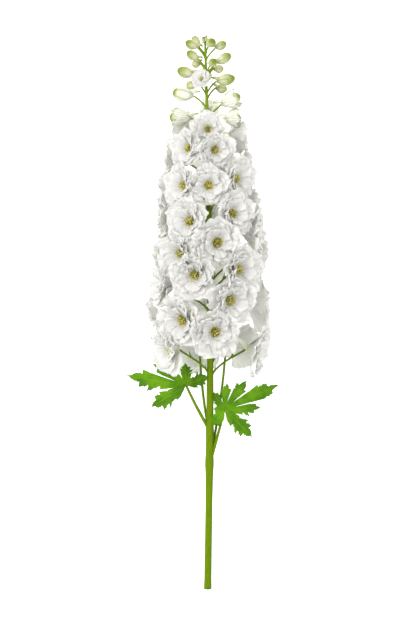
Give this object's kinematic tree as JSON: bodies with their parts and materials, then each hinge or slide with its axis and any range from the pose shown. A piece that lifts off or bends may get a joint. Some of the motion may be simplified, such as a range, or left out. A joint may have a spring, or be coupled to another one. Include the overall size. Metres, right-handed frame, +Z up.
{
  "type": "delphinium flower spike",
  "caption": "Cut white delphinium spike lying flat: bare stem, two toothed leaves, dense semi-double florets and green-white buds towards the tip.",
  "frame": {"origin": "on the surface the spike lies on, under the middle of its bounding box", "axes": "+Y along the stem from the cut end to the tip, +Z up from the surface, +X to the viewer's right seen from above"},
  "size_m": [0.1916, 0.6948, 0.1237],
  "materials": {
    "petal_white": "soft matt living petal",
    "bud_green": "soft matt bud, pale green",
    "leaf_green": "satin leaf",
    "stem_green": "satin stem"
  },
  "bodies": {
    "root": {"bud_01": "bud_green", "bud_02": "bud_green", "bud_03": "bud_green", "bud_04": "bud_green", "bud_05": "bud_green", "bud_06": "bud_green", "bud_07": "bud_green", "bud_08": "bud_green", "bud_09": "bud_green", "bud_10": "bud_green", "bud_11": "bud_green", "bud_12": "bud_green", "bud_13": "bud_green", "bud_14": "bud_green", "bud_15": "bud_green", "bud_16": "bud_green", "bud_17": "bud_green", "bud_18": "bud_green", "bud_19": "bud_green", "floret_01": "petal_white", "floret_02": "petal_white", "floret_03": "petal_white", "floret_04": "petal_white", "floret_05": "petal_white", "floret_06": "petal_white", "floret_07": "petal_white", "floret_08": "petal_white", "floret_09": "petal_white", "floret_10": "petal_white", "floret_11": "petal_white", "floret_12": "petal_white", "floret_13": "petal_white", "floret_14": "petal_white", "floret_15": "petal_white", "floret_16": "petal_white", "floret_17": "petal_white", "floret_18": "petal_white", "floret_19": "petal_white", "floret_20": "petal_white", "floret_21": "petal_white", "floret_22": "petal_white", "floret_23": "petal_white", "floret_24": "petal_white", "floret_25": "petal_white", "floret_26": "petal_white", "floret_27": "petal_white", "floret_28": "petal_white", "floret_29": "petal_white", "floret_30": "petal_white", "floret_31": "petal_white", "floret_32": "petal_white", "floret_33": "petal_white", "floret_34": "petal_white", "floret_35": "petal_white", "floret_36": "petal_white", "floret_37": "petal_white", "floret_38": "petal_white", "leaf_left": "leaf_green", "leaf_right": "leaf_green", "stem": "stem_green"}
  },
  "joints": []
}
